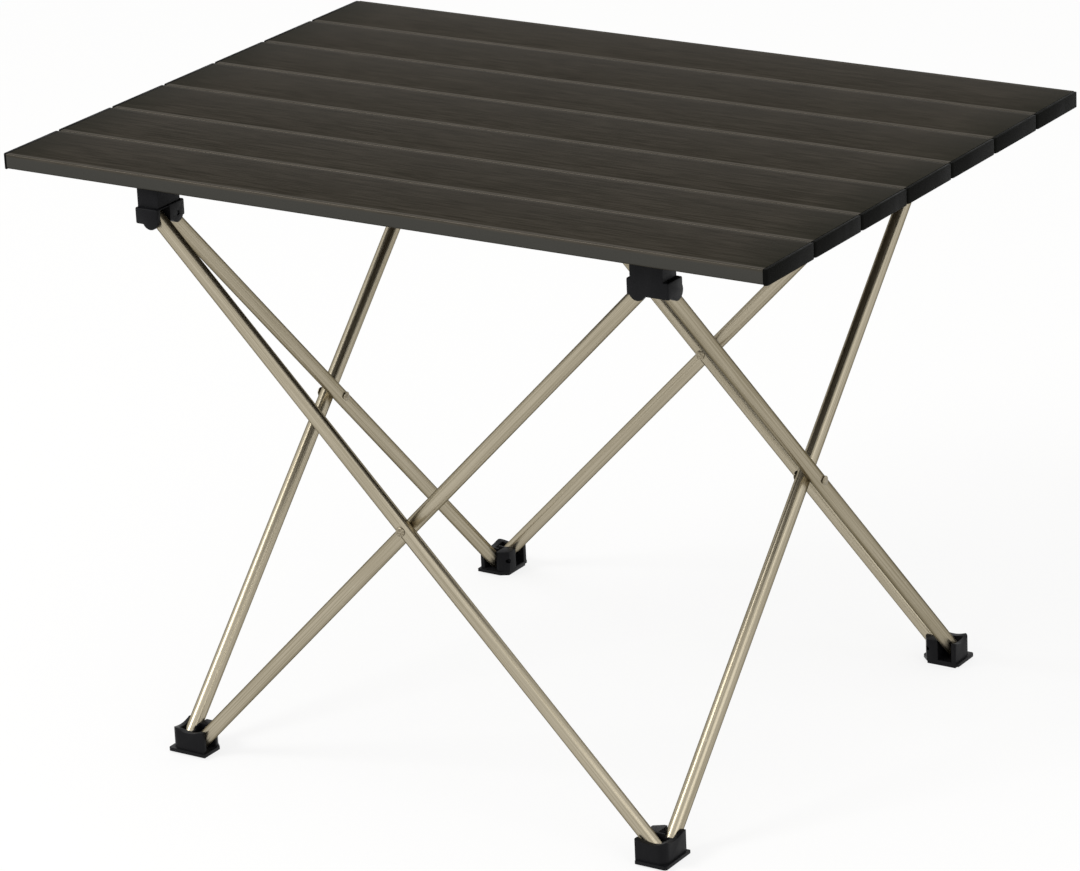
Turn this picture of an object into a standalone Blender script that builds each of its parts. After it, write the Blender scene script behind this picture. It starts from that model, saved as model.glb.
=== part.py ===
# Folding camp table: a roll-up top of aluminium slats on a square frame of crossed tubes.
# Metres, +Z up. X runs along the slats, -Y is the front, and the origin is under the middle of the top.
# Each side of the frame is a pair of equal tubes, riveted where they cross at half length. Seen from
# outside, the outer tube runs from the top left hub to the bottom right foot.

import math

import bpy
from mathutils import Matrix, Vector

# Top
SLAT_COUNT = 7
SLAT_WIDTH = 0.0581
SLAT_GAP = 0.0003
SLAT_HEIGHT = 0.0102
SLAT_SKIN = 0.0010          # top plate and side walls
SLAT_LIP = 0.0009           # thickness of the two lips under each slat
SLAT_EDGE = 0.0012          # rounding along the two top edges
TOP_LENGTH = 0.570          # over the end caps
TABLE_HEIGHT = 0.410

# End caps
CAP_PLATE = 0.0025
CAP_CORNER = 0.0020         # rounding of the plate's two upright corners
CAP_PLUG = 0.0100
CAP_PLUG_FIT = 0.0003

# Elastic cords through the slats
CORD_DIAMETER = 0.0030
CORD_HOLE = 0.0042
CORD_FROM_END = 0.045
KNOT_DIAMETER = 0.0056

# Frame
FRAME_SHIFT_X = 0.007       # the top lies a little to the left on its hubs
HUB_INSET = 0.0142          # from the top's long edge to the hubs' outer face
TUBE_DIAMETER = 0.010
TUBE_WALL = 0.001
TUBE_PAST_PIVOT = 0.0045
TUBE_GAP = 0.0004           # between two tubes where they cross
PIN_DIAMETER = 0.0030
PIN_FIT = 0.0002
PIN_RECESS = 0.0005         # of a pin's open end
PIN_SKIN = 0.0010           # plastic left over a pin's blind end, on the outer faces
RIVET_HEAD = 0.0065
RIVET_DOME = 0.0012

# Feet and hubs
SLOT_FIT = 0.0003
CHEEK_FRONT = 0.0030
CHEEK_BACK = 0.0038
CHEEK_END = 0.0034
WEB = 0.0012                # wall between the two slots of a block
FOOT_FLOOR = 0.0040
FOOT_ABOVE_PIVOT = 0.0070
FOOT_REACH = 0.0043         # past the inner tube's pivot
FOOT_DEPTH = 0.0221         # across the side that the inner tube lies along
FOOT_CORNER = 0.0060        # rounding of the outer corner
FOOT_TIP = 0.0156           # width left at the end by the slant across the inside corner
FOOT_SLANT = 0.0042         # length of that slant along the foot
FOOT_DIP = 0.0022           # of the two outer walls' top edges
FOOT_DIP_RADIUS = 0.0240
FOOT_FLANGE = 0.0017
FOOT_FLANGE_HEIGHT = 0.0024
FOOT_FLANGE_CORNER = 0.0020
FOOT_SOLE = 0.0012          # height of the flange's underside
FOOT_SOLE_STEP = 0.0008
HUB_ROOF = 0.0143
HUB_BELOW_PIVOT = 0.0030
HUB_REACH = 0.0076
HUB_NECK_DROP = 0.0133
NECK_STEP_INNER = 0.0028
NECK_STEP_OUTER = 0.0036
NECK_STEP_BACK = 0.0014
LOBE_RADIUS = 0.0060
SEAT_GAP = 0.0003
TONGUE_HEIGHT = 0.0036
BLOCK_ROUNDING = 0.0010

# Round pieces
TUBE_SIDES = 20
PIN_SIDES = 12
DIP_SIDES = 72

# Worked out from the sizes above
slat_pitch = SLAT_WIDTH + SLAT_GAP
top_half = (SLAT_COUNT * slat_pitch - SLAT_GAP) / 2
slat_length = TOP_LENGTH - 2 * (CAP_PLATE + CAP_PLUG_FIT)
slat_bottom = TABLE_HEIGHT - SLAT_HEIGHT
slat_inside = (slat_bottom + SLAT_LIP + TABLE_HEIGHT - SLAT_SKIN) / 2
hub_face = top_half - HUB_INSET
lip_width = HUB_INSET - SLOT_FIT
inner_plane = hub_face - CHEEK_FRONT - SLOT_FIT - TUBE_DIAMETER / 2
outer_plane = inner_plane + TUBE_DIAMETER + TUBE_GAP
end_swing = math.hypot(TUBE_PAST_PIVOT, TUBE_DIAMETER / 2)
slot_half = TUBE_DIAMETER / 2 + SLOT_FIT
pivot_half = outer_plane - slot_half - WEB - SLOT_FIT - end_swing
block_end = outer_plane + slot_half + CHEEK_END
block_back = inner_plane - slot_half - CHEEK_BACK
foot_back = hub_face - FOOT_DEPTH
low_pivot = FOOT_FLOOR + SLOT_FIT + end_swing
hub_top = slat_bottom - SEAT_GAP
high_pivot = hub_top - HUB_ROOF - SLOT_FIT - end_swing
rivet_height = (low_pivot + high_pivot) / 2
tube_slope = math.atan2(high_pivot - low_pivot, 2 * pivot_half)
tube_length = math.hypot(high_pivot - low_pivot, 2 * pivot_half) + 2 * TUBE_PAST_PIVOT

for old in list(bpy.data.objects):
    bpy.data.objects.remove(old, do_unlink=True)


def new_collection(name):
    collection = bpy.data.collections.new(name)
    bpy.context.scene.collection.children.link(collection)
    return collection


parts = new_collection("folding_camp_table")
cutters = new_collection("cutters")


def new_material(name, colour, roughness, metallic):
    material = bpy.data.materials.new(name)
    material.use_nodes = True
    shader = material.node_tree.nodes["Principled BSDF"]
    shader.inputs["Base Color"].default_value = (*colour, 1.0)
    shader.inputs["Roughness"].default_value = roughness
    shader.inputs["Metallic"].default_value = metallic
    material.diffuse_color = (*colour, 1.0)
    return material


dark_aluminium = new_material("dark_aluminium", (0.047, 0.041, 0.033), 0.45, 0.8)
black_plastic = new_material("black_plastic", (0.012, 0.012, 0.013), 0.50, 0.0)
champagne_aluminium = new_material("champagne_aluminium", (0.40, 0.34, 0.26), 0.35, 0.9)
bright_steel = new_material("bright_steel", (0.30, 0.27, 0.22), 0.38, 1.0)
black_steel = new_material("black_steel", (0.03, 0.03, 0.03), 0.45, 1.0)
elastic = new_material("elastic", (0.015, 0.015, 0.016), 0.90, 0.0)


def new_object(name, data, collection):
    thing = bpy.data.objects.new(name, data)
    collection.objects.link(thing)
    return thing


def guide(thing):
    # A cutter or a master shape: seen as wire only and left out of the finished parts
    for home in list(thing.users_collection):
        home.objects.unlink(thing)
    cutters.objects.link(thing)
    thing.hide_render = True
    thing.display_type = "WIRE"
    return thing


def box(name, low, high):
    low = Vector(low)
    high = Vector(high)
    bpy.ops.mesh.primitive_cube_add(size=1.0)
    thing = bpy.context.object
    thing.name = name
    thing.data.transform(Matrix.Diagonal((*(high - low), 1.0)))
    thing.data.transform(Matrix.Translation((low + high) / 2))
    return guide(thing)


def cylinder(name, radius, start, end, sides=PIN_SIDES):
    start = Vector(start)
    end = Vector(end)
    run = end - start
    bpy.ops.mesh.primitive_cylinder_add(vertices=sides, radius=radius, depth=run.length)
    thing = bpy.context.object
    thing.name = name
    turn = run.to_track_quat("Z", "Y").to_matrix().to_4x4()
    thing.data.transform(Matrix.Translation((start + end) / 2) @ turn)
    return guide(thing)


def turned(name, profile, sides):
    # Spins a profile of (radius, height) points, listed from top to bottom, about Z
    mesh = bpy.data.meshes.new(name + "_profile")
    points = [(radius, 0, height) for radius, height in profile]
    edges = [(i, i + 1) for i in range(len(points) - 1)]
    mesh.from_pydata(points, edges, [])
    thing = guide(new_object(name + "_profile", mesh, cutters))
    screw = thing.modifiers.new("spin", "SCREW")
    screw.steps = sides
    screw.render_steps = sides
    screw.use_merge_vertices = True
    screw.merge_threshold = 0.00001
    return thing


def outline(name, points, half_depth):
    # Extrudes a flat outline of (x, y) points along Z
    curve = bpy.data.curves.new(name, "CURVE")
    curve.dimensions = "2D"
    curve.fill_mode = "BOTH"
    curve.extrude = half_depth
    spline = curve.splines.new("POLY")
    spline.points.add(len(points) - 1)
    for point, (x, y) in zip(spline.points, points):
        point.co = (x, y, 0, 1)
    spline.use_cyclic_u = True
    thing = new_object(name, curve, cutters)
    solid = new_object(name + "_solid", baked(thing), cutters)
    bpy.data.objects.remove(thing)
    return guide(solid)


def baked(thing):
    # The finished mesh of an object with its modifiers, its caps welded
    bpy.context.view_layer.update()
    ready = thing.evaluated_get(bpy.context.evaluated_depsgraph_get())
    mesh = bpy.data.meshes.new_from_object(ready)
    weld = new_object("weld", mesh, cutters)
    bpy.ops.object.select_all(action="DESELECT")
    bpy.context.view_layer.objects.active = weld
    weld.select_set(True)
    bpy.ops.object.mode_set(mode="EDIT")
    bpy.ops.mesh.select_all(action="SELECT")
    bpy.ops.mesh.remove_doubles(threshold=0.00001)
    bpy.ops.object.mode_set(mode="OBJECT")
    bpy.data.objects.remove(weld)
    return mesh


def boolean(thing, operation, tools):
    for tool in tools:
        step = thing.modifiers.new(operation.lower(), "BOOLEAN")
        step.operation = operation
        step.solver = "EXACT"
        step.object = tool
    thing.modifiers.new("small_faces", "TRIANGULATE").min_vertices = 5


def bevelled(thing, width, segments=1):
    step = thing.modifiers.new("rounding", "BEVEL")
    step.width = width
    step.segments = segments
    step.limit_method = "ANGLE"
    step.use_clamp_overlap = True


def place(name, mesh, material, home, location=(0, 0, 0), rotation=(0, 0, 0)):
    # Puts a piece in the model; home is the empty on its body's joint, location is in the world
    if not mesh.materials:
        mesh.materials.append(material)
    mesh.shade_smooth()
    mesh.set_sharp_from_angle(angle=math.radians(35))
    thing = new_object(name, mesh, parts)
    thing.parent = home
    thing.location = Vector(location) - home.location
    thing.rotation_euler = rotation
    return thing


def joint_empty(name, position):
    empty = new_object("joint_" + name, None, parts)
    empty.empty_display_size = 0.02
    empty.location = position
    return empty


def quarter(point, turns):
    # Turns a point of the frame by quarter turns about its middle and sets it in the world
    x, y, z = point
    for _ in range(turns % 4):
        x, y = -y, x
    return Vector((x + FRAME_SHIFT_X, y, z))


# Slats

def rounded_section(half_width, low, high, radius):
    # Right and left top corners as arcs of three points
    points = [(-half_width, low), (half_width, low)]
    for side, first in ((1, 0), (-1, 90)):
        for step in range(3):
            turn = math.radians(first + 45 * step)
            x = side * (half_width - radius) + radius * math.cos(turn)
            points.append((x, high - radius + radius * math.sin(turn)))
    return points


def slat_section():
    half = SLAT_WIDTH / 2
    outside = rounded_section(half, 0, SLAT_HEIGHT, SLAT_EDGE)
    mouth = half - lip_width
    inside = half - SLAT_SKIN
    ceiling = SLAT_HEIGHT - SLAT_SKIN
    channel = [(-mouth, 0), (-mouth, SLAT_LIP), (-inside, SLAT_LIP), (-inside, ceiling),
               (inside, ceiling), (inside, SLAT_LIP), (mouth, SLAT_LIP), (mouth, 0)]
    return outside[:1] + channel + outside[1:]


cord_places = {"left": -(TOP_LENGTH / 2 - CORD_FROM_END), "right": TOP_LENGTH / 2 - CORD_FROM_END}
along_x = Matrix.Rotation(math.radians(90), 4, "Z") @ Matrix.Rotation(math.radians(90), 4, "X")


def slat_middle(number):
    return (number - (SLAT_COUNT + 1) / 2) * slat_pitch


def slat_mesh(front_wall, back_wall):
    # The cords pass the named walls; the first and last slats are closed on their outer side
    slat = outline("slat_shape", slat_section(), slat_length / 2)
    slat.data.transform(along_x)
    half = SLAT_WIDTH / 2 + SLAT_GAP
    middle = slat_inside - slat_bottom
    holes = []
    for side, x in cord_places.items():
        start = -half if front_wall else 0
        end = half if back_wall else 0
        holes.append(cylinder("cord_hole_" + side, CORD_HOLE / 2, (x, start, middle), (x, end, middle)))
    boolean(slat, "DIFFERENCE", holes)
    return baked(slat)


def cap_mesh():
    # Plate across the slat's end, with a plug that fills the channel behind it; made for a left end
    plate = outline("cap_section", rounded_section(SLAT_WIDTH / 2, 0, SLAT_HEIGHT, SLAT_EDGE), 2 * CAP_PLATE)
    plate.data.transform(along_x)
    plan = outline("cap_plan", rounded_section(SLAT_WIDTH / 2, 0, CAP_PLATE, CAP_CORNER), 2 * SLAT_HEIGHT)
    plan.data.transform(Matrix.Rotation(math.radians(90), 4, "Z"))
    half = SLAT_WIDTH / 2 - SLAT_SKIN - CAP_PLUG_FIT
    low = SLAT_LIP + CAP_PLUG_FIT
    high = SLAT_HEIGHT - SLAT_SKIN - CAP_PLUG_FIT
    plug = box("cap_plug", (-CAP_PLATE / 2, -half, low), (CAP_PLUG, half, high))
    boolean(plate, "INTERSECT", [plan])
    boolean(plate, "UNION", [plug])
    return baked(plate)


def cord_mesh():
    # One straight cord with a knot at each end, spun about its own length
    reach = (SLAT_COUNT / 2 - 1) * slat_pitch + SLAT_SKIN + SLAT_GAP
    knot = KNOT_DIAMETER / 2
    middle = reach + knot
    ball = [(knot * math.sin(math.radians(a)), middle + knot * math.cos(math.radians(a)))
            for a in (0, 35, 70, 105)]
    thread = [(CORD_DIAMETER / 2, reach), (CORD_DIAMETER / 2, -reach)]
    other_ball = [(radius, -height) for radius, height in reversed(ball)]
    cord = turned("cord", ball + thread + other_ball, PIN_SIDES)
    mesh = baked(cord)
    mesh.transform(Matrix.Rotation(math.radians(90), 4, "X"))
    return mesh


# Frame pieces

def tube_mesh():
    # A hollow tube along X with cross holes for the rivet at its middle and a pin near each end
    outer = TUBE_DIAMETER / 2
    inner = outer - TUBE_WALL
    half = tube_length / 2
    wall = [(inner, half), (outer, half), (outer, -half), (inner, -half), (inner, half)]
    tube = turned("tube", wall, TUBE_SIDES)
    solid = guide(new_object("tube_solid", baked(tube), cutters))
    solid.data.transform(Matrix.Rotation(math.radians(90), 4, "Y"))
    hole = PIN_DIAMETER / 2 + PIN_FIT
    holes = []
    for name, x in (("low", TUBE_PAST_PIVOT - half), ("middle", 0), ("high", half - TUBE_PAST_PIVOT)):
        start = (x, -TUBE_DIAMETER, 0)
        end = (x, TUBE_DIAMETER, 0)
        holes.append(cylinder("tube_hole_" + name, hole, start, end))
    boolean(solid, "DIFFERENCE", holes)
    return baked(solid)


def rivet_mesh():
    # Domed heads on both sides of the two crossed tubes, along Z
    shaft = PIN_DIAMETER / 2
    seat = TUBE_DIAMETER + TUBE_GAP / 2 + SLOT_FIT
    head = RIVET_HEAD / 2
    dome = [(head * math.sin(math.radians(a)), seat + RIVET_DOME * math.cos(math.radians(a)))
            for a in (0, 35, 65, 90)]
    under = [(shaft, seat), (shaft, -seat)]
    other_dome = [(radius, -height) for radius, height in reversed(dome)]
    return baked(turned("rivet", dome + under + other_dome, PIN_SIDES))


def pin_mesh(length):
    radius = PIN_DIAMETER / 2
    chamfer = PIN_DIAMETER / 10
    half = length / 2
    profile = [(0, half), (radius - chamfer, half), (radius, half - chamfer),
               (radius, chamfer - half), (radius - chamfer, -half), (0, -half)]
    return baked(turned("pin", profile, PIN_SIDES))


def pin_spans():
    # Ends of the two pins of the front left block: across the inner tube, and across the outer tube
    inner_pin = (-hub_face + PIN_SKIN, -block_back - PIN_RECESS)
    outer_pin = (-block_end + PIN_SKIN, -outer_plane + slot_half + WEB - SLOT_FIT)
    return inner_pin, outer_pin


def slots_and_holes(name, reach, back, up):
    # Cutters of the front left block, with heights from the pivots; up is +1 for a foot, -1 for a hub
    deep = -up * (end_swing + SLOT_FIT)
    far = up * 4 * TUBE_DIAMETER
    low, high = sorted((deep, far))
    inner_y = -inner_plane
    outer_x = -outer_plane
    start = -pivot_half - end_swing - SLOT_FIT
    inner_slot = box(name + "_inner_slot", (start, inner_y - slot_half, low),
                     (-pivot_half + 4 * reach, inner_y + slot_half, high))
    outer_slot = box(name + "_outer_slot", (outer_x - slot_half, start, low),
                     (outer_x + slot_half, -back + CHEEK_BACK, high))
    radius = PIN_DIAMETER / 2 + PIN_FIT
    inner_pin, outer_pin = pin_spans()
    inner_hole = cylinder(name + "_inner_hole", radius, (-pivot_half, inner_pin[0] - PIN_FIT, 0),
                          (-pivot_half, -back + CHEEK_BACK, 0))
    outer_hole = cylinder(name + "_outer_hole", radius, (outer_pin[0] - PIN_FIT, -pivot_half, 0),
                          (outer_pin[1] + 2 * SLOT_FIT, -pivot_half, 0))
    return [inner_slot, outer_slot, inner_hole, outer_hole]


def foot_slab(name, low, high, grow, radius):
    # A slice of the front left foot's plan, grown on its outer sides: round at the frame's corner,
    # and cut by a slant at its inside corner. The grown and shrunk slices stop short of the back
    left = -block_end - grow
    front = -hub_face - grow
    right = -pivot_half + FOOT_REACH + grow
    back = -foot_back - (FOOT_SOLE_STEP if grow else 0)
    points = [(left, back)]
    for step in range(7):
        turn = math.radians(180 + 15 * step)
        points.append((left + radius + radius * math.cos(turn), front + radius + radius * math.sin(turn)))
    points += [(right, front), (right, -hub_face + FOOT_TIP), (right - grow - FOOT_SLANT, back)]
    slab = outline(name, points, (high - low) / 2)
    slab.data.transform(Matrix.Translation((0, 0, (low + high) / 2)))
    return slab


def foot_mesh():
    # The front left foot, about the frame's middle, with heights from the pivots
    low = -low_pivot
    rim = low + FOOT_SOLE
    body = foot_slab("foot_body", rim + FOOT_FLANGE_HEIGHT / 2, FOOT_ABOVE_PIVOT, 0, FOOT_CORNER)
    bevelled(body, BLOCK_ROUNDING, 2)
    flange = foot_slab("foot_flange", rim, rim + FOOT_FLANGE_HEIGHT, FOOT_FLANGE, FOOT_FLANGE_CORNER)
    bevelled(flange, BLOCK_ROUNDING / 2)
    sole = foot_slab("foot_sole", low, rim + FOOT_SOLE_STEP, -FOOT_SOLE_STEP, FOOT_CORNER)
    height = FOOT_ABOVE_PIVOT + FOOT_DIP_RADIUS - FOOT_DIP
    across = (-block_end - pivot_half + FOOT_REACH) / 2
    along = -(hub_face + foot_back) / 2
    front_dip = cylinder("foot_front_dip", FOOT_DIP_RADIUS, (across, -hub_face - FOOT_FLANGE, height),
                         (across, -inner_plane, height), DIP_SIDES)
    end_dip = cylinder("foot_end_dip", FOOT_DIP_RADIUS, (-block_end - FOOT_FLANGE, along, height),
                       (-outer_plane, along, height), DIP_SIDES)
    boolean(body, "UNION", [flange, sole])
    boolean(body, "DIFFERENCE", slots_and_holes("foot", FOOT_REACH, foot_back, 1) + [front_dip, end_dip])
    return baked(body)


def hub_mesh():
    # The front right hub: the foot's plan mirrored in X, with its slots open downwards
    top = hub_top - high_pivot
    corner = (-block_end, -hub_face)
    inside = (-pivot_half + HUB_REACH, -block_back)
    neck_inside = (inside[0] - NECK_STEP_INNER, inside[1] - NECK_STEP_BACK)
    body = box("hub_body", (*corner, -HUB_BELOW_PIVOT), (*inside, top - HUB_NECK_DROP))
    bevelled(body, BLOCK_ROUNDING, 2)
    neck = box("hub_neck", (corner[0] + NECK_STEP_OUTER, corner[1], 0), (*neck_inside, top))
    tongue = box("hub_tongue", (-hub_face, corner[1], 0), (*neck_inside, top + SEAT_GAP + TONGUE_HEIGHT))
    bevelled(tongue, BLOCK_ROUNDING / 2)
    inner_lobe = cylinder("hub_inner_lobe", LOBE_RADIUS, (-pivot_half, -hub_face, 0),
                          (-pivot_half, -block_back, 0), TUBE_SIDES)
    outer_lobe = cylinder("hub_outer_lobe", LOBE_RADIUS, (-block_end, -pivot_half, 0),
                          (-pivot_half - end_swing, -pivot_half, 0), TUBE_SIDES)
    boolean(body, "UNION", [neck, tongue, inner_lobe, outer_lobe])
    boolean(body, "DIFFERENCE", slots_and_holes("hub", HUB_REACH, block_back, -1))
    mesh = baked(body)
    mesh.transform(Matrix.Scale(-1, 4, (1, 0, 0)))
    mesh.flip_normals()
    return mesh


# Joints of the frame: where each body turns on the one before it
front_pivots = {"low": (-pivot_half, -inner_plane, low_pivot), "high": (pivot_half, -inner_plane, high_pivot)}
outer_pivots = {"low": (pivot_half, -outer_plane, low_pivot), "high": (-pivot_half, -outer_plane, high_pivot)}
side_rivet = (0, -(inner_plane + outer_plane) / 2, rivet_height)
sides = ("front", "right", "back", "left")
feet = ("front_left", "front_right", "back_right", "back_left")
hubs = ("front_right", "back_right", "back_left", "front_left")

joints = {
    "foot_front_left": quarter(front_pivots["low"], 0),
    "front_inner": quarter(front_pivots["low"], 0),
    "left_outer": quarter(outer_pivots["low"], 3),
    "front_outer": quarter(side_rivet, 0),
    "left_inner": quarter(side_rivet, 3),
    "hub_front_right": quarter(front_pivots["high"], 0),
    "hub_back_left": quarter(outer_pivots["high"], 3),
    "hub_front_left": quarter(outer_pivots["high"], 0),
    "foot_front_right": quarter(outer_pivots["low"], 0),
    "foot_back_left": quarter(front_pivots["low"], 3),
    "right_outer": quarter(outer_pivots["high"], 1),
    "right_inner": quarter(side_rivet, 1),
    "back_inner": quarter(front_pivots["high"], 2),
    "back_outer": quarter(side_rivet, 2),
    "hub_back_right": quarter(front_pivots["high"], 1),
    "foot_back_right": quarter(outer_pivots["low"], 1),
}
homes = {name: joint_empty(name, position) for name, position in joints.items()}

tube = tube_mesh()
rivet = rivet_mesh()
foot = foot_mesh()
hub = hub_mesh()
inner_span, outer_span = pin_spans()
inner_pin = pin_mesh(inner_span[1] - inner_span[0])
outer_pin = pin_mesh(outer_span[1] - outer_span[0])
quarter_turn = math.pi / 2

for turns, side in enumerate(sides):
    for layer, plane, slope in (("outer", outer_plane, tube_slope), ("inner", inner_plane, -tube_slope)):
        middle = quarter((0, -plane, rivet_height), turns)
        place(f"tube_{side}_{layer}", tube, champagne_aluminium, homes[f"{side}_{layer}"], middle,
              (0, slope, turns * quarter_turn))
    rivet_home = homes[side + ("_inner" if side in ("front", "back") else "_outer")]
    place(f"rivet_{side}", rivet, bright_steel, rivet_home, quarter(side_rivet, turns),
          (quarter_turn, 0, turns * quarter_turn))


def place_block(kind, corner, mesh, turns, height, mirror):
    # A foot or hub with its two pins; mirror is -1 where the plan is the foot's mirrored in X
    home = homes[f"{kind}_{corner}"]
    turn = turns * quarter_turn
    place(f"{kind}_{corner}", mesh, black_plastic, home, quarter((0, 0, height), turns), (0, 0, turn))
    inner_at = (mirror * -pivot_half, sum(inner_span) / 2, height)
    outer_at = (mirror * sum(outer_span) / 2, -pivot_half, height)
    place(f"pin_{kind}_{corner}_inner", inner_pin, black_steel, home, quarter(inner_at, turns),
          (quarter_turn, 0, turn))
    place(f"pin_{kind}_{corner}_outer", outer_pin, black_steel, home, quarter(outer_at, turns),
          (quarter_turn, 0, turn + quarter_turn))


for turns, corner in enumerate(feet):
    place_block("foot", corner, foot, turns, low_pivot, 1)
for turns, corner in enumerate(hubs):
    place_block("hub", corner, hub, turns, high_pivot, -1)

# Top: each slat turns on the one in front of it about the top edge between them
slat_meshes = {
    "first": slat_mesh(False, True),
    "between": slat_mesh(True, True),
    "last": slat_mesh(True, False),
}
cap = cap_mesh()
cap_end = TOP_LENGTH / 2 - CAP_PLATE
for number in range(1, SLAT_COUNT + 1):
    middle = slat_middle(number)
    hinge = (0, middle - slat_pitch / 2, TABLE_HEIGHT) if number > 1 else (0, middle, slat_bottom)
    home = joint_empty(f"slat_{number}", hinge)
    kind = {1: "first", SLAT_COUNT: "last"}.get(number, "between")
    place(f"slat_{number}", slat_meshes[kind], dark_aluminium, home, (0, middle, slat_bottom))
    place(f"end_cap_left_{number}", cap, black_plastic, home, (-cap_end, middle, slat_bottom))
    place(f"end_cap_right_{number}", cap, black_plastic, home, (cap_end, middle, slat_bottom), (0, 0, math.pi))
    homes[f"slat_{number}"] = home

cord = cord_mesh()
middle_home = homes[f"slat_{(SLAT_COUNT + 1) // 2}"]
for side, x in cord_places.items():
    place(f"elastic_cord_{side}", cord, elastic, middle_home, (x, 0, slat_inside))
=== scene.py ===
import math

import bmesh
import bpy
from mathutils import Matrix, Vector


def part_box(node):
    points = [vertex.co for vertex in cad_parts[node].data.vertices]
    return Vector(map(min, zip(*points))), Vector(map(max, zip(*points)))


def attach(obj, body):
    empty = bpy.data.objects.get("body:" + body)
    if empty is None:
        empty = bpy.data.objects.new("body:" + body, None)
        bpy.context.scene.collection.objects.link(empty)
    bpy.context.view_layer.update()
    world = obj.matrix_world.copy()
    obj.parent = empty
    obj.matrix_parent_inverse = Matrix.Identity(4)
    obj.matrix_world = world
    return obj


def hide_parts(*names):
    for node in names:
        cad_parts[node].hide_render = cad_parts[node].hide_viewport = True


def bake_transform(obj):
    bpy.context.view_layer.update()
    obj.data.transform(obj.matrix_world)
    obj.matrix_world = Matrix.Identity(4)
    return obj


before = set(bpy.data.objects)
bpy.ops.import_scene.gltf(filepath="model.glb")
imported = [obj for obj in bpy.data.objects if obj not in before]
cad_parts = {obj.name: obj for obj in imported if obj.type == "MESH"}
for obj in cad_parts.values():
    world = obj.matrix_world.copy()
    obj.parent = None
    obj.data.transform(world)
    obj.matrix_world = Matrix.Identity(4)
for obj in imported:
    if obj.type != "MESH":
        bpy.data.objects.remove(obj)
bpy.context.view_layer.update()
print("frame loaded")

sides = ("front", "right", "back", "left")  # seen from above, each a quarter turn from the last
corners = ("front_left", "front_right", "back_right", "back_left")  # where each side begins
slatCount = sum(name.startswith("slat_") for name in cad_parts)
quarterTurn = math.pi / 2
cutPast = 0.01  # how much longer a cutter is than what it cuts


# Helpers for node trees

def srgb(code):
    # sRGB hex to linear, with alpha 1
    channels = [int(code[i:i + 2], 16) / 255 for i in (1, 3, 5)]
    return (*[c / 12.92 if c <= 0.04045 else ((c + 0.055) / 1.055) ** 2.4 for c in channels], 1.0)


def addNode(tree, kind, links=None, **settings):
    # Adds a node; links maps its inputs to sockets or to plain values
    node = tree.nodes.new(kind)
    for name, value in settings.items():
        setattr(node, name, value)
    for name, value in (links or {}).items():
        if isinstance(value, bpy.types.NodeSocket):
            tree.links.new(value, node.inputs[name])
        else:
            node.inputs[name].default_value = value
    return node


def maths(tree, operation, first, second=0.0, third=0.0):
    node = addNode(tree, "ShaderNodeMath", {0: first, 1: second, 2: third}, operation=operation)
    return node.outputs[0]


def product(tree, first, *others):
    for other in others:
        first = maths(tree, "MULTIPLY", first, other)
    return first


def vector(tree, x=0.0, y=0.0, z=0.0):
    return addNode(tree, "ShaderNodeCombineXYZ", {0: x, 1: y, 2: z}).outputs[0]


def mixColours(tree, share, first, second, blend="MIX"):
    node = addNode(tree, "ShaderNodeMix", {0: share, 6: first, 7: second}, data_type="RGBA", blend_type=blend)
    return node.outputs[2]


def scaleRange(tree, value, low, high, valueLow=0.0, valueHigh=1.0):
    # Gives low where the value is valueLow or less, high where it is valueHigh or more
    node = addNode(tree, "ShaderNodeMapRange", {0: value, 1: valueLow, 2: valueHigh, 3: low, 4: high})
    return node.outputs[0]


def noise(tree, place, scale, detail=3.0, roughness=0.5):
    node = addNode(tree, "ShaderNodeTexNoise", {"Vector": place, "Scale": scale, "Detail": detail,
                                                "Roughness": roughness})
    return node.outputs["Fac"]


def stretched(tree, place, size):
    # The pattern's coordinates divided by the size of one feature along each axis, in metres
    scale = [1 / s for s in size]
    return addNode(tree, "ShaderNodeMapping", {"Vector": place, "Scale": scale}).outputs[0]


def stored(tree, name):
    # What storePlace keeps in each piece's mesh
    return addNode(tree, "ShaderNodeAttribute", attribute_name=name).outputs["Vector"]


def newMaterial(name, **sockets):
    material = bpy.data.materials.new(name)
    material.use_nodes = True
    tree = material.node_tree
    shader = tree.nodes["Principled BSDF"]
    for socket, value in sockets.items():
        shader.inputs[socket.replace("_", " ")].default_value = value
    return material, tree, shader


def piecePattern(tree):
    # A piece's own coordinates in metres, moved differently on each piece, so that no two look the same
    return addNode(tree, "ShaderNodeVectorMath", {0: stored(tree, "place"), 1: stored(tree, "shift")},
                   operation="ADD").outputs[0]


def addBump(tree, shader, height, distance):
    bump = addNode(tree, "ShaderNodeBump", {"Height": height, "Distance": distance, "Strength": 1.0})
    tree.links.new(bump.outputs[0], shader.inputs["Normal"])


def greyTint(share):
    # How much of its colour a metal keeps where it is seen at a grazing angle
    return (share, share, share, 1.0)


# Materials

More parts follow.
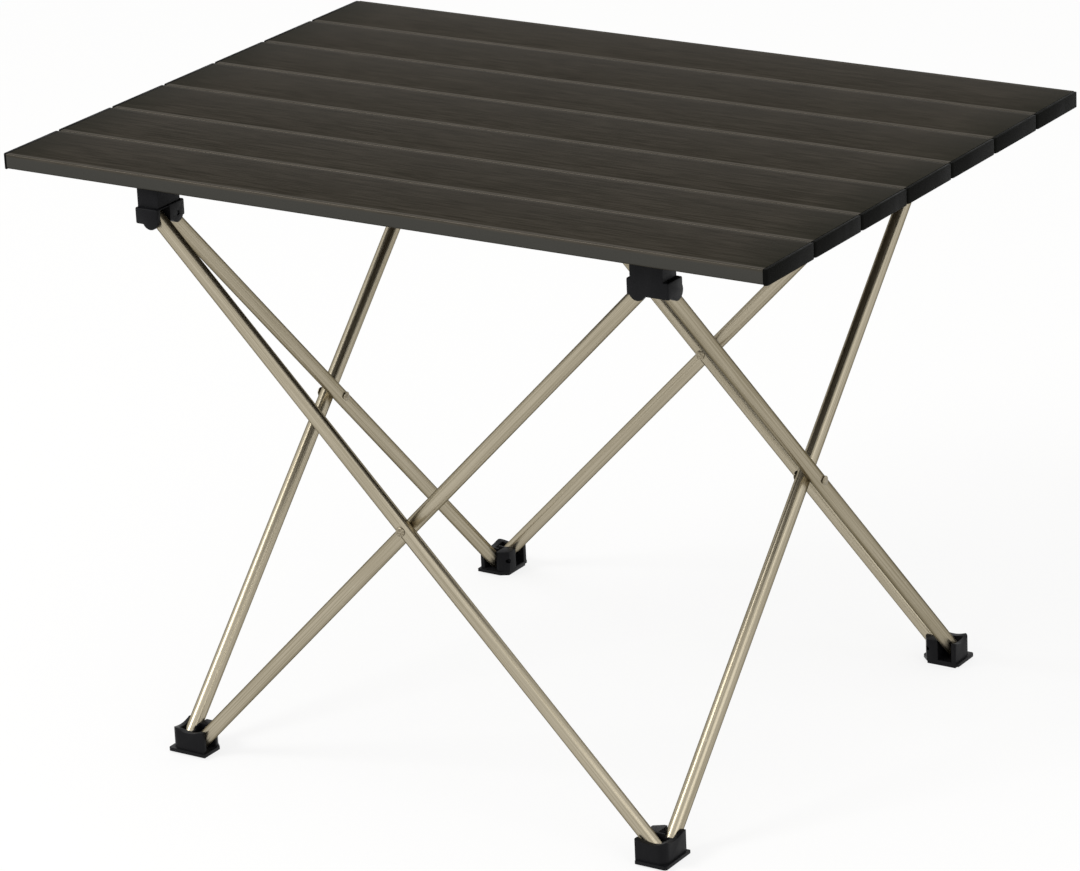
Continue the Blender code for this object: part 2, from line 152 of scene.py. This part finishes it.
def brushedAnodisedAluminium():
    # Extruded 6063 aluminium, brushed along its length and anodised dark bronze: satin, with long fine
    # streaks, a painted highlight beside the long top edges, a paler colour painted on the side faces for
    # the light they catch, and painted shade towards its ends. The real brush lines, about 0.1 mm wide,
    # are too fine to show, and are drawn 0.7 and 1.4 mm wide
    look = {
        # The side faces get a paler colour of their own, painted light for the light they catch
        "base": "#49443c", "streak": "#353129", "edge": "#68635c", "paintedFlankLight": "#454440", "end": "#25261f",
        "grazing": 0.46, "roughness": 0.44, "spread": 0.08, "bump": 0.00003,
        "streakLength": 0.05, "streakWidth": 0.0014, "streakShare": 0.55,
        "waveLength": 0.018, "waveWidth": 0.0007, "waveShare": 0.45,
        "streakFrom": 0.43, "streakTo": 0.57, "cloud": 0.04, "cloudDark": 0.95, "cloudPale": 1.05,
        # Painted shade: the slat darkens towards each end over these distances, in the end colour
        "endShadeFrom": 0.244, "endShadeTo": 0.287,  # metres along the slat from its middle
        # edge is the colour of a painted highlight on the flat top beside each long edge, placed by the distances
        # below
        "edgeFrom": 0.0252, "edgeTo": 0.0266, "roundFrom": 0.0272, "roundTo": 0.0286,  # across it
        "topFrom": 0.0030, "topTo": 0.0042,  # and up
        "endShadeShare": 0.6, "roundShare": 0.3, "backShare": 0.35, "leastEdgeHighlight": 0.6,
    }
    material, tree, shader = newMaterial("brushedAnodisedAluminium", Metallic=1.0,
                                         Specular_Tint=greyTint(look["grazing"]))
    pattern = piecePattern(tree)
    grain = (look["streakLength"], look["streakWidth"], look["streakWidth"])
    streaks = noise(tree, stretched(tree, pattern, grain), 1.0, 5.0, 0.7)
    fine = (look["waveLength"], look["waveWidth"], look["waveWidth"])
    waves = noise(tree, stretched(tree, pattern, fine), 1.0, 4.0, 0.6)
    streaks = maths(tree, "MULTIPLY_ADD", waves, look["waveShare"], product(tree, streaks, look["streakShare"]))
    colour = mixColours(tree, scaleRange(tree, streaks, 0, 1, look["streakFrom"], look["streakTo"]),
                        srgb(look["streak"]), srgb(look["base"]))
    clouds = noise(tree, pattern, 1 / look["cloud"], 3.0)
    shade = scaleRange(tree, clouds, look["cloudDark"], look["cloudPale"], 0.35, 0.65)
    colour = mixColours(tree, 1.0, colour, vector(tree, shade, shade, shade), "MULTIPLY")

    along, across, up = addNode(tree, "ShaderNodeSeparateXYZ", {0: stored(tree, "place")}).outputs
    # Painted shade: the colour darkens towards each end of the slat
    end = scaleRange(tree, maths(tree, "ABSOLUTE", along), 0, look["endShadeShare"], look["endShadeFrom"], look["endShadeTo"])
    colour = mixColours(tree, end, colour, srgb(look["end"]))
    aside = maths(tree, "ABSOLUTE", across)
    # Painted highlight: a paler band on the flat top beside each long edge, weaker on the rounding and on the back
    # edge, broken up by the streaks
    beside = product(tree, scaleRange(tree, aside, 0, 1, look["edgeFrom"], look["edgeTo"]),
                     scaleRange(tree, aside, 1, look["roundShare"], look["roundFrom"], look["roundTo"]),
                     scaleRange(tree, across, 1, look["backShare"], -0.01, 0.01))
    top = scaleRange(tree, up, 0, 1, look["topFrom"], look["topTo"])
    paintedEdgeHighlight = product(tree, beside, top, scaleRange(tree, streaks, look["leastEdgeHighlight"], 1, 0.3, 0.7))
    # Painted light: the side faces below the top get a paler colour of their own for the light they catch
    paintedFlankLight = product(tree, maths(tree, "GREATER_THAN", aside, look["roundTo"]), maths(tree, "SUBTRACT", 1.0, top))
    colour = mixColours(tree, paintedFlankLight, colour, srgb(look["paintedFlankLight"]))
    tree.links.new(mixColours(tree, paintedEdgeHighlight, colour, srgb(look["edge"])), shader.inputs["Base Color"])
    tree.links.new(scaleRange(tree, streaks, look["roughness"] - look["spread"], look["roughness"] + look["spread"],
                              0.3, 0.7), shader.inputs["Roughness"])
    addBump(tree, shader, streaks, look["bump"])
    return material


def drawnChampagneAluminium():
    # Drawn 7075 tube with a champagne anodised coat: satin, with faint die lines along the tube,
    # which make its highlights streaky and are drawn 0.8 mm wide to show, and small scuffs
    look = {
        "base": "#b1a894", "line": "#928974", "scuff": "#c9c2af",
        "grazing": 0.14, "roughness": 0.3, "spread": 0.06, "bump": 0.00002,
        "lineWidth": 0.0008, "lineLength": 0.12, "lineFrom": 0.3, "lineTo": 0.6,
        "scuffSize": 0.004, "scuffFrom": 0.62, "scuffTo": 0.75, "scuffShare": 0.5,
    }
    material, tree, shader = newMaterial("drawnChampagneAluminium", Metallic=1.0,
                                         Specular_Tint=greyTint(look["grazing"]))
    pattern = piecePattern(tree)
    grain = (look["lineWidth"], look["lineWidth"], look["lineLength"])
    lines = noise(tree, stretched(tree, pattern, grain), 1.0, 3.0, 0.6)
    colour = mixColours(tree, scaleRange(tree, lines, 0, 1, look["lineFrom"], look["lineTo"]),
                        srgb(look["line"]), srgb(look["base"]))
    scuffs = noise(tree, pattern, 1 / look["scuffSize"], 5.0, 0.7)
    scuffs = scaleRange(tree, scuffs, 0, look["scuffShare"], look["scuffFrom"], look["scuffTo"])
    tree.links.new(mixColours(tree, scuffs, colour, srgb(look["scuff"])), shader.inputs["Base Color"])
    tree.links.new(scaleRange(tree, lines, look["roughness"] - look["spread"], look["roughness"] + look["spread"],
                              0.3, 0.7), shader.inputs["Roughness"])
    addBump(tree, shader, lines, look["bump"])
    return material


def mouldedNylon(name, look):
    # Injection moulded glass-filled nylon: black, with faint paler flow marks, a low sheen, and a
    # spark-eroded grain, which is drawn about three times as coarse as real to show
    material, tree, shader = newMaterial(name, IOR=1.53, Specular_IOR_Level=look["gloss"])
    pattern = piecePattern(tree)
    grain = noise(tree, pattern, 1 / look["grain"], 4.0)
    colour = mixColours(tree, scaleRange(tree, grain, 0, 1, 0.35, 0.75), srgb(look["base"]), srgb(look["pale"]))
    flow = noise(tree, stretched(tree, pattern, (look["flow"], look["flow"], look["flow"] * 4)), 1.0, 2.0)
    colour = mixColours(tree, scaleRange(tree, flow, 0, 0.6, 0.45, 0.7), colour, srgb(look["pale"]))
    tree.links.new(colour, shader.inputs["Base Color"])
    tree.links.new(scaleRange(tree, flow, look["roughness"] - 0.06, look["roughness"] + 0.08, 0.3, 0.7),
                   shader.inputs["Roughness"])
    addBump(tree, shader, grain, 0.00005)
    return material


def grainedNylon():
    # The hubs and feet
    return mouldedNylon("grainedNylon", {"base": "#0c0c0e", "pale": "#151517", "grain": 0.0006, "flow": 0.008,
                                         "roughness": 0.42, "gloss": 0.09})


def smoothNylon():
    # The end caps, which are blacker and duller than the hubs
    return mouldedNylon("smoothNylon", {"base": "#090908", "pale": "#10100e", "grain": 0.0004, "flow": 0.012,
                                        "roughness": 0.45, "gloss": 0.02})


def patchySteel(name, look, onPieces=True):
    # A CAD node that stays has no stored place, so its pattern reads Object coordinates
    material, tree, shader = newMaterial(name, Metallic=1.0)
    pattern = piecePattern(tree) if onPieces else addNode(tree, "ShaderNodeTexCoord").outputs["Object"]
    patches = noise(tree, pattern, 1 / look["patch"], 4.0)
    colour = mixColours(tree, scaleRange(tree, patches, 0, 1, 0.4, 0.6), srgb(look["dull"]), srgb(look["base"]))
    tree.links.new(colour, shader.inputs["Base Color"])
    tree.links.new(scaleRange(tree, patches, look["roughness"] + 0.08, look["roughness"] - 0.08),
                   shader.inputs["Roughness"])
    return material


def headedBronzedSteel():
    # Rivets headed cold and bronzed to match the tubes: satin, with small duller patches
    return patchySteel("headedBronzedSteel", {"base": "#a09783", "dull": "#7d7462", "patch": 0.0011,
                                              "roughness": 0.38})


def blackOxideSteel():
    # Turned pins with a black oxide coat: nearly matt, with small blacker patches
    return patchySteel("blackOxideSteel", {"base": "#2b2b2d", "dull": "#1d1d1e", "patch": 0.0008,
                                           "roughness": 0.45}, onPieces=False)


def braidedElastic():
    # Polyester braid over rubber: matt, with crossing strands, drawn twice as coarse as real to show
    look = {"base": "#232325", "strand": "#3b3b3e", "strandWidth": 0.0006, "bands": 0.16, "bump": 0.0001}
    material, tree, shader = newMaterial("braidedElastic", Roughness=0.85, Sheen_Weight=0.3)
    pattern = piecePattern(tree)
    crossings = []
    for lean in (1, -1):
        leaning = stretched(tree, pattern, (look["strandWidth"] * lean, look["strandWidth"], look["strandWidth"]))
        wave = addNode(tree, "ShaderNodeTexWave", {"Vector": leaning, "Scale": look["bands"]},
                       bands_direction="DIAGONAL")
        crossings.append(wave.outputs["Fac"])
    braid = maths(tree, "MAXIMUM", *crossings)
    colour = mixColours(tree, braid, srgb(look["base"]), srgb(look["strand"]))
    tree.links.new(colour, shader.inputs["Base Color"])
    addBump(tree, shader, braid, look["bump"])
    return material


materials = {
    "slat": brushedAnodisedAluminium(), "tube": drawnChampagneAluminium(), "block": grainedNylon(),
    "cap": smoothNylon(), "rivet": headedBronzedSteel(), "pin": blackOxideSteel(), "elastic": braidedElastic(),
}
print("materials made")


# Helpers for shapes

def newTree(name, sizes):
    # A geometry tree with one named input for each size; returns the tree and its inputs
    tree = bpy.data.node_groups.new(name, "GeometryNodeTree")
    tree.interface.new_socket("Geometry", in_out="OUTPUT", socket_type="NodeSocketGeometry")
    tree.interface.new_socket("Geometry", in_out="INPUT", socket_type="NodeSocketGeometry")
    for size in sizes:
        tree.interface.new_socket(size, in_out="INPUT", socket_type="NodeSocketFloat")
    source = addNode(tree, "NodeGroupInput")
    return tree, {size: source.outputs[size] for size in sizes}


def endTree(tree, geometry, material):
    real = addNode(tree, "GeometryNodeRealizeInstances", {0: geometry}).outputs[0]
    painted = addNode(tree, "GeometryNodeSetMaterial", {"Geometry": real, "Material": material}).outputs[0]
    addNode(tree, "NodeGroupOutput", {0: painted})


def moved(tree, geometry, at=(0, 0, 0), turn=(0, 0, 0), scale=(1, 1, 1)):
    return addNode(tree, "GeometryNodeTransform", {"Geometry": geometry, "Translation": at, "Rotation": turn,
                                                   "Scale": scale}).outputs[0]


def block(tree, size, at=(0, 0, 0)):
    return moved(tree, addNode(tree, "GeometryNodeMeshCube", {"Size": size}).outputs[0], at)


def rod(tree, radius, length, facets):
    return addNode(tree, "GeometryNodeMeshCylinder", {"Vertices": facets, "Radius": radius,
                                                      "Depth": length}).outputs[0]


def straight(tree, start, end):
    return addNode(tree, "GeometryNodeCurvePrimitiveLine", {"Start": start, "End": end}).outputs[0]


def swept(tree, route, section):
    return addNode(tree, "GeometryNodeCurveToMesh", {"Curve": route, "Profile Curve": section,
                                                     "Fill Caps": True}).outputs[0]


def combine(tree, operation, first, others):
    node = addNode(tree, "GeometryNodeMeshBoolean", operation=operation, solver="EXACT")
    tree.links.new(first, node.inputs["Mesh 1" if operation == "DIFFERENCE" else "Mesh 2"])
    for other in others:
        tree.links.new(other, node.inputs["Mesh 2"])
    return node.outputs[0]


def newObject(name, data):
    item = bpy.data.objects.new(name, data)
    bpy.context.scene.collection.objects.link(item)
    return item


def plainMesh(holder):
    # The object's final mesh; the object and its modifiers are removed
    ready = holder.evaluated_get(bpy.context.evaluated_depsgraph_get())
    mesh = bpy.data.meshes.new_from_object(ready)
    bpy.data.objects.remove(holder)
    return mesh


def grown(tree, sizes):
    # Runs a tree once with these sizes
    holder = newObject(tree.name, bpy.data.meshes.new(tree.name))
    step = holder.modifiers.new("grow", "NODES")
    step.node_group = tree
    for item in tree.interface.items_tree:
        if item.in_out == "INPUT" and item.name in sizes:
            step[item.identifier] = float(sizes[item.name])
    return plainMesh(holder)


def smooth(mesh, angle=35):
    mesh.shade_smooth()
    mesh.set_sharp_from_angle(angle=math.radians(angle))


def storePlace(mesh, shift=(0, 0, 0), centre=(0, 0, 0)):
    # Keeps each point's own coordinates, which the patterns are drawn in, and the piece's own shift
    place = mesh.attributes.new("place", "FLOAT_VECTOR", "POINT")
    for point, vertex in zip(place.data, mesh.vertices):
        point.vector = vertex.co - Vector(centre)
    for point in mesh.attributes.new("shift", "FLOAT_VECTOR", "POINT").data:
        point.vector = shift


def newPiece(name, mesh, body, node):
    piece = newObject(name, mesh)
    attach(piece, body)
    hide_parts(node)


def paint(mesh, material):
    mesh.materials.clear()
    mesh.materials.append(material)


def boxOf(node):
    return [Vector(corner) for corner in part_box(node)]


def middleOf(node):
    low, high = boxOf(node)
    return (low + high) / 2


def sizeOf(node):
    low, high = boxOf(node)
    return high - low


# Slats

def slatTree():
    # A rounded bar along X with a channel, a mouth below it between two lips, and holes for the cords
    tree, size = newTree("slat", ("Length", "Width", "Height", "Skin", "Lip", "Lip Width", "Edge",
                                  "Lower Edge Share", "Cord Hole", "Cord From Middle", "Front Wall", "Back Wall"))
    length, width, height = size["Length"], size["Width"], size["Height"]
    outline = addNode(tree, "GeometryNodeCurvePrimitiveQuadrilateral", {"Width": width, "Height": height})
    spot = addNode(tree, "ShaderNodeSeparateXYZ", {0: addNode(tree, "GeometryNodeInputPosition").outputs[0]})
    above = maths(tree, "GREATER_THAN", spot.outputs["Y"], 0.0)
    radius = product(tree, size["Edge"], scaleRange(tree, above, size["Lower Edge Share"], 1.0))
    profile = addNode(tree, "GeometryNodeFilletCurve", {"Curve": outline.outputs[0], "Count": 6,
                                                        "Radius": radius}, mode="POLY").outputs[0]
    half = product(tree, length, 0.5)
    bar = swept(tree, straight(tree, vector(tree, product(tree, half, -1.0)), vector(tree, half)), profile)

    past = maths(tree, "ADD", length, cutPast)
    inside = maths(tree, "SUBTRACT", width, product(tree, size["Skin"], 2.0))
    mouth = maths(tree, "SUBTRACT", width, product(tree, size["Lip Width"], 2.0))
    hollow = maths(tree, "SUBTRACT", maths(tree, "SUBTRACT", height, size["Skin"]), size["Lip"])
    centre = product(tree, maths(tree, "SUBTRACT", size["Lip"], size["Skin"]), 0.5)
    channel = block(tree, vector(tree, past, inside, hollow), vector(tree, 0.0, 0.0, centre))
    opening = block(tree, vector(tree, past, mouth, height), vector(tree, 0.0, 0.0, product(tree, height, -0.5)))

    # Front Wall and Back Wall are 1 where the cords pass through that wall, and otherwise 0
    reach = product(tree, width, 0.6)
    depth = product(tree, reach, maths(tree, "ADD", size["Front Wall"], size["Back Wall"]))
    aside = product(tree, maths(tree, "SUBTRACT", size["Back Wall"], size["Front Wall"]), product(tree, reach, 0.5))
    holes = []
    for side in (-1.0, 1.0):
        at = vector(tree, product(tree, size["Cord From Middle"], side), aside, centre)
        holes.append(moved(tree, rod(tree, size["Cord Hole"], depth, 24), at, (quarterTurn, 0, 0)))
    endTree(tree, combine(tree, "DIFFERENCE", bar, [channel, opening] + holes), materials["slat"])
    return tree


def makeSlats():
    slat = {"Skin": 0.001, "Lip": 0.0009, "Lip Width": 0.0139, "Edge": 0.0021, "Lower Edge Share": 0.2,
            "Cord Hole": 0.0021}
    tree = slatTree()
    for number in range(1, slatCount + 1):
        node = f"slat_{number}"
        size = sizeOf(node)
        mesh = grown(tree, {**slat, "Length": size.x, "Width": size.y, "Height": size.z,
                            "Cord From Middle": middleOf("elastic_cord_right").x,
                            "Front Wall": number > 1, "Back Wall": number < slatCount})
        storePlace(mesh, (0.37 * number, 0, 0.11 * number))
        mesh.transform(Matrix.Translation(middleOf(node)))
        smooth(mesh)
        newPiece(f"brushed_slat_{number}", mesh, node, node)


makeSlats()
print("slats made")


# Tubes

def tubeTree():
    # A tube along Z with a cross hole at its middle and near each end
    tree, size = newTree("tube", ("Length", "Radius", "Wall", "Hole", "Hole From End"))
    outside = rod(tree, size["Radius"], size["Length"], 48)
    bore = maths(tree, "SUBTRACT", size["Radius"], size["Wall"])
    inside = rod(tree, bore, maths(tree, "ADD", size["Length"], cutPast), 48)
    last = maths(tree, "SUBTRACT", product(tree, size["Length"], 0.5), size["Hole From End"])
    holes = []
    for side in (-1.0, 0.0, 1.0):
        hole = rod(tree, size["Hole"], product(tree, size["Radius"], 3.0), 16)
        holes.append(moved(tree, hole, vector(tree, 0.0, 0.0, product(tree, last, side)), (quarterTurn, 0, 0)))
    endTree(tree, combine(tree, "DIFFERENCE", outside, [inside] + holes), materials["tube"])
    return tree


def makeTubes():
    # Each tube runs from one pin to another, and its place comes from its node's middle
    tube = {"Radius": 0.005, "Wall": 0.001, "Hole": 0.0017, "Hole From End": 0.0045}
    tree = tubeTree()
    for turns, side in enumerate(sides):
        outward = Matrix.Rotation(turns * quarterTurn, 3, "Z") @ Vector((0, -1, 0))
        here, there = corners[turns], corners[(turns + 1) % 4]
        for layer, foot, hub, shift in (("inner", here, there, 0), ("outer", there, here, 0.7)):
            run = middleOf(f"pin_hub_{hub}_{layer}") - middleOf(f"pin_foot_{foot}_{layer}")
            run -= outward * run.dot(outward)
            mesh = grown(tree, {**tube, "Length": run.length + 2 * tube["Hole From End"]})
            storePlace(mesh, (0.05 * turns, 0, 0.3 * turns + shift))
            along = run.normalized()
            turn = Matrix((outward.cross(along), outward, along)).transposed()
            mesh.transform(Matrix.Translation(middleOf(f"tube_{side}_{layer}")) @ turn.to_4x4())
            smooth(mesh)
            newPiece(f"drawn_tube_{side}_{layer}", mesh, f"{side}_{layer}", f"tube_{side}_{layer}")


makeTubes()
print("tubes made")


# Rivets at the crossings

def rivetTree():
    # A shaft along Z with a domed head beyond each seat
    tree, size = newTree("rivet", ("Shaft", "Seat", "Head", "Dome", "Rim"))
    rise = maths(tree, "SUBTRACT", size["Dome"], size["Rim"])
    heads = []
    for side in (-1.0, 1.0):
        seat = product(tree, size["Seat"], side)
        ball = addNode(tree, "GeometryNodeMeshUVSphere", {"Segments": 32, "Rings": 16, "Radius": 1.0}).outputs[0]
        crown = vector(tree, 0.0, 0.0, maths(tree, "ADD", seat, product(tree, size["Rim"], side)))
        heads.append(moved(tree, ball, crown, scale=vector(tree, size["Head"], size["Head"], rise)))
        edge = vector(tree, 0.0, 0.0, maths(tree, "ADD", seat, product(tree, size["Rim"], side * 0.5)))
        heads.append(moved(tree, rod(tree, size["Head"], size["Rim"], 32), edge))
    wide = product(tree, size["Head"], 3.0)
    between = block(tree, vector(tree, wide, wide, product(tree, size["Seat"], 2.0)))
    heads = combine(tree, "DIFFERENCE", combine(tree, "UNION", heads[0], heads[1:]), [between])
    shaft = rod(tree, size["Shaft"], product(tree, maths(tree, "ADD", size["Seat"], size["Rim"]), 2.0), 20)
    endTree(tree, combine(tree, "UNION", heads, [shaft]), materials["rivet"])
    return tree


def makeRivets():
    rivet = {"Shaft": 0.0015, "Dome": 0.0012, "Rim": 0.0003}
    tree = rivetTree()
    for turns, side in enumerate(sides):
        node = f"rivet_{side}"
        _, head, length = sorted(sizeOf(node))
        mesh = grown(tree, {**rivet, "Head": head / 2, "Seat": length / 2 - rivet["Dome"]})
        storePlace(mesh, (0, 0, turns))
        turn = Matrix.Rotation(turns * quarterTurn, 4, "Z") @ Matrix.Rotation(quarterTurn, 4, "X")
        mesh.transform(Matrix.Translation(middleOf(node)) @ turn)
        smooth(mesh)
        body = side + ("_inner" if side in ("front", "back") else "_outer")  # the tube that carries it
        newPiece(f"crossing_rivet_{side}", mesh, body, node)


makeRivets()
print("rivets made")


# Moulded feet, hubs and end caps

def softened(node, width, shift, material):
    # A merged copy of a node's solid with its edges rounded as a mould leaves them
    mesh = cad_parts[node].data.copy()
    work = bmesh.new()
    work.from_mesh(mesh)
    bmesh.ops.remove_doubles(work, verts=work.verts, dist=0.000002)
    bmesh.ops.dissolve_limit(work, angle_limit=math.radians(1), verts=work.verts, edges=work.edges)
    work.to_mesh(mesh)
    work.free()
    holder = newObject("holder", mesh)
    step = holder.modifiers.new("rounding", "BEVEL")
    step.width = width
    step.segments = 3
    step.limit_method = "ANGLE"
    step.angle_limit = math.radians(40)
    step.use_clamp_overlap = True
    mesh = plainMesh(holder)
    storePlace(mesh, shift, middleOf(node))
    smooth(mesh)
    paint(mesh, material)
    return mesh


def makeBlocks():
    rounding = {"foot": 0.00035, "hub": 0.00035}
    for kind, width in rounding.items():
        for turns, corner in enumerate(corners):
            node = f"{kind}_{corner}"
            mesh = softened(node, width, (0.1 * turns, 0, 0), materials["block"])
            newPiece(f"moulded_{node}", mesh, node, node)


def makeCaps():
    cap = {"rounding": 0.0003}
    for side in ("left", "right"):
        for number in range(1, slatCount + 1):
            node = f"end_cap_{side}_{number}"
            mesh = softened(node, cap["rounding"], (0, 0.2 * number, 0), materials["cap"])
            newPiece(f"moulded_{node}", mesh, f"slat_{number}", node)


makeBlocks()
makeCaps()
print("feet, hubs and end caps made")


# Elastic cords, a length for each joint between two slats

def cordTree():
    # A cord along Y with enough rings to bend smoothly where two slats meet
    tree, size = newTree("cord", ("Length", "Radius"))
    half = product(tree, size["Length"], 0.5)
    line = straight(tree, vector(tree, 0.0, product(tree, half, -1.0)), vector(tree, 0.0, half))
    route = addNode(tree, "GeometryNodeResampleCurve", {"Curve": line, "Count": 59}).outputs[0]
    section = addNode(tree, "GeometryNodeCurvePrimitiveCircle", {"Resolution": 14, "Radius": size["Radius"]})
    endTree(tree, swept(tree, route, section.outputs[0]), materials["elastic"])
    return tree


def knotMesh(name, radius, thickness):
    # An overhand knot, drawn as a trefoil that fits the given radius
    curve = bpy.data.curves.new(name, "CURVE")
    curve.dimensions = "3D"
    curve.bevel_depth = thickness
    curve.bevel_resolution = 3
    points = 48
    unit = (radius - thickness) / 3
    spline = curve.splines.new("POLY")
    spline.points.add(points - 1)
    for k, point in enumerate(spline.points):
        t = 2 * math.pi * k / points
        spot = (math.sin(t) + 2 * math.sin(2 * t), math.cos(t) - 2 * math.cos(2 * t), -math.sin(3 * t))
        point.co = (*[unit * c for c in spot], 1)
    spline.use_cyclic_u = True
    mesh = plainMesh(newObject(name, curve))
    paint(mesh, materials["elastic"])
    return mesh


def makeCords():
    cord = {"radius": 0.0015, "knotRadius": 0.0028, "knotStrand": 0.0011, "bendHalf": 0.002}
    tree = cordTree()
    slats = [middleOf(f"slat_{number}").y for number in range(1, slatCount + 1)]
    for side in ("left", "right"):
        node = f"elastic_cord_{side}"
        low, high = boxOf(node)
        x, _, z = (low + high) / 2
        first, last = low.y + cord["knotRadius"], high.y - cord["knotRadius"]
        for number in range(1, slatCount):
            start = first if number == 1 else slats[number - 1]
            end = last if number == slatCount - 1 else slats[number]
            middle = (start + end) / 2
            mesh = grown(tree, {"Length": end - start, "Radius": cord["radius"]})
            storePlace(mesh, (0, middle, 0))
            mesh.transform(Matrix.Translation((x, middle, z)))
            smooth(mesh, 50)
            piece = newObject(f"cord_{side}_{number}", mesh)
            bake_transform(piece)
            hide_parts(node)
        for end, y, body in (("front", first, "slat_1"), ("back", last, f"slat_{slatCount}")):
            mesh = knotMesh(f"knot_{side}_{end}", cord["knotRadius"], cord["knotStrand"])
            storePlace(mesh)
            mesh.transform(Matrix.Translation((x, y, z)) @ Matrix.Rotation(quarterTurn, 4, "X"))
            smooth(mesh, 50)
            newPiece(f"cord_knot_{side}_{end}", mesh, body, node)


makeCords()
print("cords made")

# The pins keep their own solids and get their finish
for name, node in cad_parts.items():
    if name.startswith("pin_"):
        paint(node.data, materials["pin"])


# Studio

def seenBy(tree, *rays):
    # 1 for these rays, which show the background, and 0 for those that light the object
    path = addNode(tree, "ShaderNodeLightPath").outputs
    share = path[rays[0]]
    for ray in rays[1:]:
        share = maths(tree, "MAXIMUM", share, path[ray])
    return share


def emptyTree(owner):
    owner.use_nodes = True
    owner.node_tree.nodes.clear()
    return owner.node_tree


def makeStudio():
    studio = {"floorRadius": 6.0, "floorDrop": 0.0002, "floorColour": "#f4f3f1", "white": 1.03,
              "worldStrength": 0.75, "shadowShare": 0.2}
    world = bpy.data.worlds.new("studioWorld")
    bpy.context.scene.world = world
    tree = emptyTree(world)
    shown = seenBy(tree, "Is Camera Ray", "Is Glossy Ray", "Is Transmission Ray")
    ambient = addNode(tree, "ShaderNodeBackground", {"Color": (1, 1, 1, 1), "Strength": studio["worldStrength"]})
    white = addNode(tree, "ShaderNodeBackground", {"Color": (1, 1, 1, 1), "Strength": studio["white"]})
    mixed = addNode(tree, "ShaderNodeMixShader", {0: shown, 1: ambient.outputs[0], 2: white.outputs[0]})
    addNode(tree, "ShaderNodeOutputWorld", {"Surface": mixed.outputs[0]})

    mesh = bpy.data.meshes.new("studioFloor")
    work = bmesh.new()
    bmesh.ops.create_circle(work, cap_ends=True, segments=96, radius=studio["floorRadius"])
    work.to_mesh(mesh)
    work.free()
    floor = newObject("studioFloor", mesh)
    floor.location.z = -studio["floorDrop"]  # clear of the feet's soles
    material = bpy.data.materials.new("paleFloor")
    tree = emptyTree(material)
    shown = scaleRange(tree, seenBy(tree, "Is Camera Ray", "Is Glossy Ray"), 0.0, 1 - studio["shadowShare"])
    matt = addNode(tree, "ShaderNodeBsdfDiffuse", {"Color": srgb(studio["floorColour"])})
    glow = addNode(tree, "ShaderNodeEmission", {"Color": (1, 1, 1, 1), "Strength": studio["white"]})
    mixed = addNode(tree, "ShaderNodeMixShader", {0: shown, 1: matt.outputs[0], 2: glow.outputs[0]})
    addNode(tree, "ShaderNodeOutputMaterial", {"Surface": mixed.outputs[0]})
    mesh.materials.append(material)


def addLamps():
    lamps = {
        "keyLamp": {"place": (-1.6, -1.9, 2.2), "size": 1.15, "power": 40},
        "fillLamp": {"place": (2.4, -1.2, 1.4), "size": 1.6, "power": 11},
    }
    target = Vector((0, 0, 0.25))
    for name, lamp in lamps.items():
        light = bpy.data.lights.new(name, "AREA")
        light.shape = "DISK"
        light.size = lamp["size"]
        light.energy = lamp["power"]
        holder = newObject(name, light)
        holder.location = lamp["place"]
        holder.rotation_euler = (target - holder.location).to_track_quat("-Z", "Y").to_euler()


def addCamera():
    # Found by fitting the top's outline, the feet and the crossings to the photograph
    camera = {"place": (1.69025, -2.60572, 1.32909), "turn": (69.8962, 2.4631, 32.2701), "lens": 165.67}
    data = bpy.data.cameras.new("photoCamera")
    data.lens = camera["lens"]
    data.sensor_width = 36.0
    data.clip_start = 0.05
    holder = newObject("photoCamera", data)
    holder.location = camera["place"]
    holder.rotation_euler = [math.radians(a) for a in camera["turn"]]
    bpy.context.scene.camera = holder


makeStudio()
addLamps()
addCamera()
bpy.context.scene.view_settings.view_transform = "Standard"
print("studio made")
